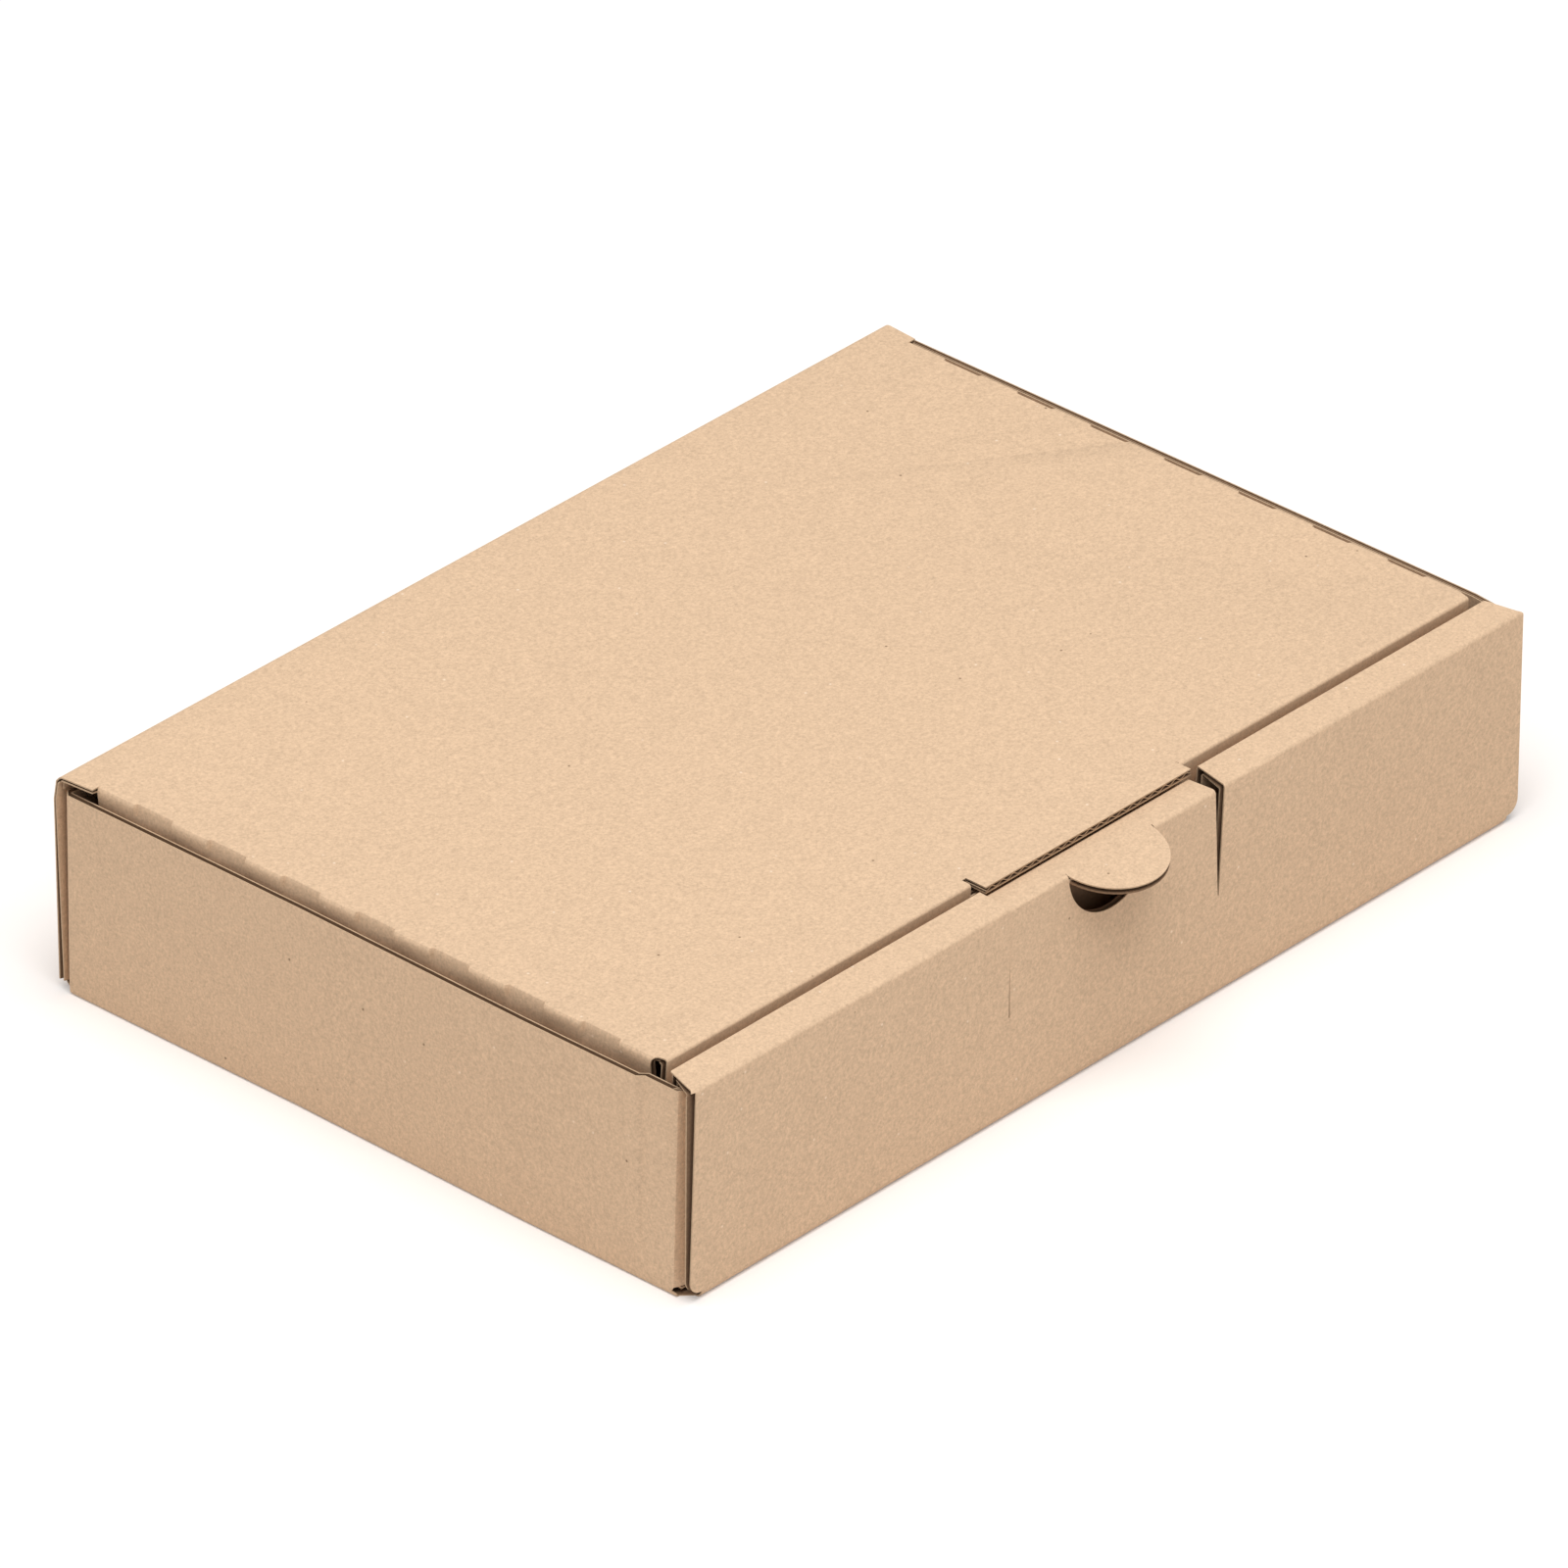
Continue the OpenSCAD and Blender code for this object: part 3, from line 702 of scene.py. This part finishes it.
class Finish:
    """One material, with short ways to add nodes to it."""

    def __init__(self, name, roughness):
        self.material = bpy.data.materials.new(name)
        self.material.use_nodes = True
        self.tree = self.material.node_tree
        self.shader = self.tree.nodes["Principled BSDF"]
        self.shader.inputs["Roughness"].default_value = roughness
        self.shader.inputs["Specular IOR Level"].default_value = 0.2

    def add(self, kind, settings=None, inputs=None):
        node = self.tree.nodes.new(kind)
        for name, value in (settings or {}).items():
            setattr(node, name, value)
        for name, value in (inputs or {}).items():
            self.feed(node.inputs[name], value)
        return node

    def feed(self, socket, value):
        if isinstance(value, Value):
            self.tree.links.new(value.socket, socket)
        elif hasattr(value, "is_output"):
            self.tree.links.new(value, socket)
        else:
            socket.default_value = value

    def place(self, per_mm):
        """Object coordinates, scaled from metres to steps of the pattern."""
        where = self.add("ShaderNodeTexCoord").outputs["Object"]
        scaled = self.add("ShaderNodeMapping", None, {"Vector": where, "Scale": [per_mm / MM] * 3})
        return scaled.outputs["Vector"]

    def noise(self, per_mm, detail):
        where = self.place(per_mm)
        node = self.add("ShaderNodeTexNoise", None, {"Vector": where, "Scale": 1.0, "Detail": detail})
        return Value(self, node.outputs["Fac"])

    def specks(self, per_mm, size, share):
        """A mask of sparse small spots: in a share of the cells, the cell's middle."""
        cells = self.add("ShaderNodeTexVoronoi", None, {"Vector": self.place(per_mm), "Scale": 1.0})
        chance = self.add("ShaderNodeSeparateColor", None, {"Color": cells.outputs["Color"]})
        spot = self.add("ShaderNodeMapRange", {"interpolation_type": "SMOOTHSTEP"}, {
            "Value": cells.outputs["Distance"], "From Min": size, "From Max": size * 0.4})
        return Value(self, spot.outputs["Result"]) * (Value(self, chance.outputs[0]) < share)

    def mix(self, mask, first, second, blend="MIX"):
        settings = {"data_type": "RGBA", "blend_type": blend}
        return self.add("ShaderNodeMix", settings, {0: mask, 6: first, 7: second}).outputs[2]

    def tinted(self, colour, tone):
        """A colour made lighter and darker by a tone around 1."""
        grey = self.add("ShaderNodeCombineColor", None, {0: tone, 1: tone, 2: tone}).outputs[0]
        return self.mix(1.0, colour, grey, "MULTIPLY")


# %% Kraft liner
PALE_FIBRE, DARK_SPECK, DUST = (0.95, 0.78, 0.62, 1), (0.2, 0.12, 0.07, 1), (0.3, 0.19, 0.11, 1)


def kraft(name, colour, contrast):
    """Brown liner: its tone varies in four sizes of grain, and three kinds of specks lie on top."""
    finish = Finish(name, roughness=0.85)
    grain = finish.noise(per_mm=1.6, detail=3.0)
    fibre = finish.noise(per_mm=0.8, detail=2.0)
    fine = finish.noise(per_mm=4.5, detail=1.0)
    cloud = finish.noise(per_mm=0.16, detail=2.0)
    tone = (grain - 0.5) * 0.5 + (fibre - 0.5) * 0.3 + (cloud - 0.5) * 0.08 + (fine - 0.5) * 0.4
    base = finish.tinted(colour, 1.0 + tone * contrast)
    light = finish.specks(per_mm=0.2, size=0.075, share=0.5)
    dark = finish.specks(per_mm=0.13, size=0.05, share=0.4)
    dust = finish.specks(per_mm=0.33, size=0.07, share=0.3)
    base = finish.mix(light * 0.6, base, PALE_FIBRE)
    base = finish.mix(dark * 0.8, base, DARK_SPECK)
    base = finish.mix(dust * 0.45, base, DUST)
    finish.feed(finish.shader.inputs["Base Color"], base)
    bump = finish.add("ShaderNodeBump", None, {"Strength": 0.25, "Distance": 0.0001, "Height": grain + fibre})
    finish.feed(finish.shader.inputs["Normal"], bump.outputs["Normal"])
    return finish.material


def plain(name, colour):
    """The board's cut edges and its fluting: one colour, a little mottled."""
    finish = Finish(name, roughness=0.9)
    tone = 0.75 + finish.noise(per_mm=1.5, detail=2.0) * 0.5
    finish.feed(finish.shader.inputs["Base Color"], finish.tinted(colour, tone))
    return finish.material


# %% Finishes of the board
finishes = [
    kraft("kraft_liner", (0.70, 0.495, 0.326, 1), 0.8),
    plain("cut_edge", (0.52, 0.365, 0.235, 1)),
    plain("fluting", (0.25, 0.152, 0.09, 1)),
    kraft("kraft_inside", (0.60, 0.42, 0.275, 1), 0.8),
    plain("flute_edge", (0.46, 0.315, 0.20, 1)),
]
print("finishes:", [finish.name for finish in finishes])

# %% [markdown]
# The side creases of the lid are half cut: the rule of the die is a blade for ten millimetres, then
# blunt for ten. Where it cuts, the liner parts and the fold is sharp. Where it only presses, the liner
# stays whole and bulges out. So the fold's edge looks like a row of flat teeth.

# %% Half-cut creases
TOOTH, FIRST_TOOTH, TOOTH_STEP = 9.87, 65.7, 0.2
BULGED = (
    (118.75, 49.0), (119.15, 48.87), (119.4, 48.5), (119.5, 48.0), (119.47, 47.4), (119.4, 46.8),
    (119.3, 46.1))
PARTED = (
    (118.3, 49.0), (118.5, 48.85), (118.65, 48.4), (118.72, 47.9), (118.77, 47.3), (118.81, 46.7),
    (118.85, 46.1))
BULGE_FOOT = 43.8


def half_cut(liner):
    """Gives the side folds of the lid's outer liner their teeth."""
    ends = [SIDE_BACK_Y]
    place = FIRST_TOOTH
    while place > SIDE_FRONT_Y + 2:
        ends.append(place)
        place -= TOOTH
    ends.append(SIDE_FRONT_Y)
    in_fold = lambda p, n: abs(p.x) > TOP_X and p.z > 35 and SIDE_FRONT_Y < p.y < SIDE_BACK_Y
    into_edit(liner)
    slice_at(2, [BULGE_FOOT], lambda p, n: abs(p.x) > TOP_X - 2 and 30 < p.z < 45)
    slice_at(1, [end + shift for end in ends[1:-1] for shift in (-TOOTH_STEP, TOOTH_STEP)], in_fold)
    for tooth, (high, low) in enumerate(zip(ends, ends[1:])):
        shape = BULGED if tooth % 2 == 0 else PARTED
        rows = []
        for row, (x, z) in enumerate(shape):
            rows.append((90 / FOLD_STEPS * row, (x - TOP_X, z - LID_Z + FOLD_OUT)))
        for side in (-1, 1):
            in_tooth = lambda p: low - 0.1 < p.y < high + 0.1 and p.x * side > 0
            reshape_fold((side * TOP_X, 0, LID_Z - FOLD_OUT), (0, side), (2, 1), FOLD_OUT, rows, in_tooth)
    out_of_edit()
    print("teeth on each side fold:", len(ends) - 1)


# %% [markdown]
# The other folds of the outer liner are pressed: the ledge, the foot of the short walls and the front
# of the lid have tighter folds than the board's thickness asks for. The upright corners at the back
# are pressed flat to a chamfer instead.

# %% Pressed folds
LEDGE_R, ROLL_R, FOOT_R, CORNER_FLAT = 0.9, 0.35, 1.0, 0.8


def press_tray(liner):
    """Tightens the folds of the tray's outer liner and flattens its upright rear corners."""
    beside = lambda p: abs(p.x) > TONGUE_X
    fold_z = LEDGE_Z - FOLD_OUT
    into_edit(liner)
    for drop, inward, where in ((0, 0, beside), (TONGUE_DROP, TONGUE_IN, in_tongue)):
        centre = (0, -FLOOR_Y + inward, fold_z - drop)
        reshape_fold(centre, (1, -1), (2, 1), FOLD_OUT, tight(FOLD_OUT, LEDGE_R), where)
        rise = -TONGUE_SAG if drop else LEDGE_RISE
        centre = (0, ROLL_Y - FOLD_OUT, fold_z - drop + rise)
        roll_rows = tight(FOLD_OUT, LEDGE_R if drop else ROLL_R)
        reshape_fold(centre, (1, 1), (2, 1), FOLD_OUT, roll_rows, where)
    foot_rows, corner_rows = tight(FOLD_OUT, FOOT_R), flattened(CORNER_OUT[1], CORNER_FLAT)
    for side in (-1, 1):
        in_length = lambda p: -WALL_Y[-1] - 0.1 < p.y < WALL_Y[1] + 0.1
        on_side = lambda p: in_length(p) and p.x * side > 0
        reshape_fold((side * FLOOR_X, 0, FOLD_OUT), (0, side), (2, -1), FOLD_OUT, foot_rows, on_side)
        centre = (side * (WALL_X - CORNER_OUT[1]), WALL_Y[1], 0)
        reshape_fold(centre, (1, 1), (0, side), CORNER_OUT[1], corner_rows, lambda p: p.z > 1)
    out_of_edit()


def press_lid(liner):
    """Tightens the fold at the lid's front."""
    into_edit(liner)
    rows = tight(FOLD_OUT, TUCK_R, TUCK_TURN, TUCK_STEPS)
    at_fold = lambda p: p.x < NOTCH_ENDS[0] + 0.05 or p.x > NOTCH_ENDS[1] - 0.05
    reshape_fold((0, TOP_Y, LID_Z - FOLD_OUT), (1, -1), (2, 1), FOLD_OUT, rows, at_fold)
    out_of_edit()


# %% [markdown]
# The short walls don't stand straight. The left one is pushed out, more at its front than at its back.
# The right one leans out with its rim, which then stands higher and shows beyond the lid. All layers
# of the board move together, so this is a step that runs on each layer. A wall that leans has to be
# moved band by band, because each height moves by its own amount.

# %% Leaning walls
# Each stretch of the left wall, from the back: where it ends, and how far its top and its foot move.
BEYOND = 200.0
LEFT_LEAN = ((19.9, 0.4, 0.4), (-70.1, 1.4, 1.4), (-BEYOND, 0.2, 1.4))
RIGHT_END_Y, RIGHT_LEAN, RIGHT_END_LEAN, RIGHT_RISE = -73.0, 2.2, 1.4, 0.9
BANDS = 24


def push_wall(side, from_y, to_y, low_shift, high_shift):
    """Moves a stretch of a short wall out, by one amount at its foot and another at its top."""
    bands = 1 if high_shift == low_shift else BANDS
    height = (WALL_Z + 2) / bands
    for band in range(bands):
        low, high = band * height - 1, (band + 1) * height - 1
        shift = low_shift + (high_shift - low_shift) * (low + high) / 2 / WALL_Z
        in_wall = lambda p: p.x * side > FLOOR_X + 0.05 and abs(p.y) < FLAP_Y + 0.02
        pick("VERT", lambda p, n: in_wall(p) and from_y < p.y < to_y and low <= p.z < high)
        move(side * shift, 0, 0)


def lean_out(layer):
    """Pushes the left wall out, and leans the right wall out and raises its rim."""
    into_edit(layer)
    above = BEYOND
    for below, high_shift, low_shift in LEFT_LEAN:
        push_wall(-1, below, above, low_shift, high_shift)
        above = below
    push_wall(1, RIGHT_END_Y, BEYOND, 0.0, RIGHT_LEAN)
    push_wall(1, -BEYOND, RIGHT_END_Y, 0.0, RIGHT_END_LEAN)
    in_rim = lambda p: abs(p.y) < FLAP_Y and WALL_Z - 0.6 < p.z < WALL_Z + 0.1
    pick("VERT", lambda p, n: p.x > FLOOR_X + 0.5 and in_rim(p))
    move(0, 0, RIGHT_RISE)
    out_of_edit()


# %% [markdown]
# Where the board ends in the open, handling has worn it. The lid's bare rear edges and the upper ends
# of the back wall are pinched nearly shut, and at the left end of the front wall the outer liner ends
# a little short of the board.

# %% Worn edges
EDGE_PINCH = 0.6
DRAWN_BACK = ((40, 49, 1.3), (20, 30, 0.6))


def pinch_bare_edges(liner):
    """Presses the inner liner up at the lid's bare rear edges."""
    into_edit(liner)
    pick("VERT", lambda p, n: abs(p.x) > SIDE_X and p.y > SIDE_BACK_Y - 0.1 and p.z > 45)
    move(0, 0, EDGE_PINCH)
    out_of_edit()


def draw_back(liner):
    """Ends the outer liner of the front wall a little short of the board, most at the upper left."""
    into_edit(liner)
    for low, high, shift in DRAWN_BACK:
        pick("VERT", lambda p, n: p.x < -FRONT_X + 0.2 and low < p.z < high)
        move(shift, 0, 0)
    out_of_edit()


def pinch_back_wall(liner):
    """Closes the board at the upper ends of the back wall."""
    into_edit(liner)
    pick("VERT", lambda p, n: abs(p.x) > BACK_X - 1.5 and p.y > FLOOR_Y and p.z > BACK_BEND_Z - 0.1)
    move(0, BOARD - 2 * LINER - 0.15, 0)
    out_of_edit()


# %% [markdown]
# The thumb hole is punched through the finished board, so its rim shows the flutes too. The cutter is
# a round bar with its upper part taken off, because the tab must stay.

# %% Thumb hole
CUTTER_LENGTH, CUTTER_Y, TAB_CLEAR = 3.4, TONGUE_Y + 1.0, 0.05


def punch(piece):
    """Cuts the thumb hole through the front wall, below the tab."""
    bpy.ops.mesh.primitive_cylinder_add(
        vertices=64, radius=HOLE_R * MM, depth=CUTTER_LENGTH * MM, rotation=(math.radians(90), 0, 0),
        location=(TAB_X * MM, CUTTER_Y * MM, TONGUE_Z * MM))
    cutter = bpy.context.object
    bpy.ops.object.transform_apply(location=True, rotation=True, scale=True)
    for finish in finishes:
        cutter.data.materials.append(finish)
    into_edit(cutter)
    bpy.ops.mesh.select_all(action="SELECT")
    bpy.ops.mesh.bisect(
        plane_co=(0, ledge_edge_y * MM, (TONGUE_Z - BOARD - TAB_CLEAR) * MM),
        plane_no=(0, -math.sin(hang), math.cos(hang)), use_fill=True, clear_outer=True)
    out_of_edit()
    for polygon in cutter.data.polygons:
        polygon.material_index = EDGE
    hole = piece.modifiers.new("hole", "BOOLEAN")
    hole.operation = "DIFFERENCE"
    hole.solver = "EXACT"
    hole.object = cutter
    only(piece)
    bpy.ops.object.modifier_apply(modifier=hole.name)
    only(cutter)
    bpy.ops.object.delete()


# %% [markdown]
# The flutes of the flat sheet run from front to back. In the floor, the front, the back and the lid
# they show as waves along the long edges. In the short walls and the side flaps, which are folded up
# from the sides, they show along the upright ends. So the fluted sheet is made in two parts for each
# board, one waved across X and one across Z. An edge that runs along the flutes shows a dark channel
# instead, because the fluted sheet ends a little inside it.

# %% Which way the flutes run
def in_short_walls(p, n):
    return near(abs(p.x), WALL_X, 0.01) and 0.01 < p.z < WALL_Z + 0.1


def in_corner_flaps(p, n):
    return near(abs(p.y), FLAP_Y, 0.02) and abs(p.x) < WALL_X - 1.6 and 0.01 < p.z < WALL_Z


def in_corner_folds(p, n):
    return WALL_X - 4 < abs(p.x) < WALL_X + 0.1 and 79 < abs(p.y) < FLAP_Y - 0.02 and 2 < p.z < WALL_Z + 0.1


def in_side_flaps(p, n):
    return abs(n.x) > 0.1


def across_floor(p, n):
    return not (in_short_walls(p, n) or in_corner_flaps(p, n) or in_corner_folds(p, n))


# %% Boards
CHANNEL, WALL_FOOT, SIDE_FOOT = 0.8, 1.5, 20.5
tray_layers = [
    outer_liner(tray_sheet, "tray_outer", [press_tray, draw_back, lean_out]),
    inner_liner(tray_sheet, "tray_inner", [pinch_back_wall, lean_out]),
    fluted(tray_sheet, "tray_flutes_x", across_floor, 0, (-FRONT_X + CHANNEL, FRONT_X - CHANNEL)),
    fluted(
        tray_sheet, "tray_flutes_z", lambda p, n: in_short_walls(p, n) or in_corner_flaps(p, n),
        2, (WALL_FOOT, WALL_Z), [lean_out]),
]
for layer in tray_layers[:3]:
    punch(layer)

# %% Painted shade behind the thumb hole
# Painted shade: faces of the inner liner behind the thumb hole get the dark fluting finish, standing in for
# the shadow in the closed cavity. The liner there is the same kraft as elsewhere.
HOLE_SHADE_X = 30
for polygon in tray_layers[1].data.polygons:
    middle = polygon.center / MM
    if middle.y < ROLL_Y - 1 and middle.z > 20 and abs(middle.x - TAB_X) < HOLE_SHADE_X:
        polygon.material_index = FLUTE

# %% Joining the layers
tray = join("tray_board", tray_layers)
lid = join("lid_board", [
    outer_liner(lid_sheet, "lid_outer", [half_cut, press_lid]),
    inner_liner(lid_sheet, "lid_inner", [pinch_bare_edges]),
    fluted(
        lid_sheet, "lid_flutes_x", lambda p, n: not in_side_flaps(p, n),
        0, (-TUCK_X + CHANNEL, TUCK_X - CHANNEL)),
    fluted(lid_sheet, "lid_flutes_z", in_side_flaps, 2, (SIDE_FOOT, BULGE_FOOT)),
])
for sheet in (tray_sheet, lid_sheet):
    only(sheet)
    bpy.ops.object.delete()
print("tray board:", len(tray.data.polygons), "faces; lid board:", len(lid.data.polygons), "faces")

# %% [markdown]
# Tray and lid are one sheet, and its inner liner runs on over the crease. That strip of liner is a piece
# of its own here, shaped as it lies in the closed box, hidden in the fold.

# %% Strip over the crease
CREASE_R, CREASE_STRIP_X, CREASE_LEG = FOLD_IN + 0.1, BACK_X - 1.5, 1.2
strip_z = LID_Z - FOLD_OUT + CREASE_R
strip = start_panel("crease_strip", CREASE_STRIP_X, FLOOR_Y - CREASE_LEG, FLOOR_Y, strip_z)
into_edit(strip)
pick("EDGE", lambda p, d: near(p.y, FLOOR_Y) and abs(d.x) > 0.9)
fold((0, FLOOR_Y, LID_Z - FOLD_OUT), (1, 0, 0), -90, steps=18)
extrude(0, 0, -CREASE_LEG)
face_out(lambda p, n: n.z < -0.9)
out_of_edit()
give_thickness(strip, LINER, 1, INSIDE, INSIDE, EDGE)
print("crease strip:", len(strip.data.polygons), "faces")

# %% Smooth shading
SMOOTH_UP_TO = math.radians(32)
for board in (tray, lid, strip):
    only(board)
    bpy.ops.object.shade_smooth_by_angle(angle=SMOOTH_UP_TO)

# %% [markdown]
# ## Floor and light
#
# The box stands on white paper that melts into a white background. A big soft light from above makes
# the lid brighter than the walls, and the white sky fills the shadows. For the camera alone the paper
# glows a little, so that only the shadow at the foot of the box stays visible.

# %% Floor
bpy.ops.mesh.primitive_plane_add(size=8, location=(0, 0, 0))
floor = bpy.context.object
floor.name = "floor"
paper = Finish("white_paper", 1.0)
paper.shader.inputs["Base Color"].default_value = (0.85, 0.812, 0.785, 1)
paper.shader.inputs["Emission Strength"].default_value = 0.15
camera_ray = paper.add("ShaderNodeLightPath").outputs["Is Camera Ray"]
glow = paper.add("ShaderNodeCombineColor", None, {0: camera_ray, 1: camera_ray, 2: camera_ray})
paper.feed(paper.shader.inputs["Emission Color"], glow.outputs[0])
floor.data.materials.append(paper.material)

# %% Light
SKY, OVERHEAD = 0.385, 113.5
SOFTBOX_AT, SOFTBOX_SIZE = (-0.6, -0.68, 3.3), 2.8
world = bpy.data.worlds.new("studio")
bpy.context.scene.world = world
world.use_nodes = True
world.node_tree.nodes["Background"].inputs["Color"].default_value = (1, 1, 1, 1)
world.node_tree.nodes["Background"].inputs["Strength"].default_value = SKY
bpy.ops.object.light_add(type="AREA", location=SOFTBOX_AT)
softbox = bpy.context.object
softbox.name = "softbox"
softbox.data.shape = "SQUARE"
softbox.data.size = SOFTBOX_SIZE
softbox.data.energy = OVERHEAD
softbox.rotation_euler = (Vector((0, 0, 0)) - softbox.location).to_track_quat("-Z", "Y").to_euler()
bpy.context.scene.view_settings.view_transform = "Standard"
print("sky", SKY, "overhead light", OVERHEAD, "W")

# %% [markdown]
# ## Bodies
#
# Each board stands for its CAD solid and rides on its body, so it turns with the joint. The crease strip
# rides on neither body: its place is baked into its mesh, as in the closed box.

# %% Ride and finish
for piece, body in ((tray, "tray"), (lid, "lid")):
    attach(piece, body)
    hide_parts(body)
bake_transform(strip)
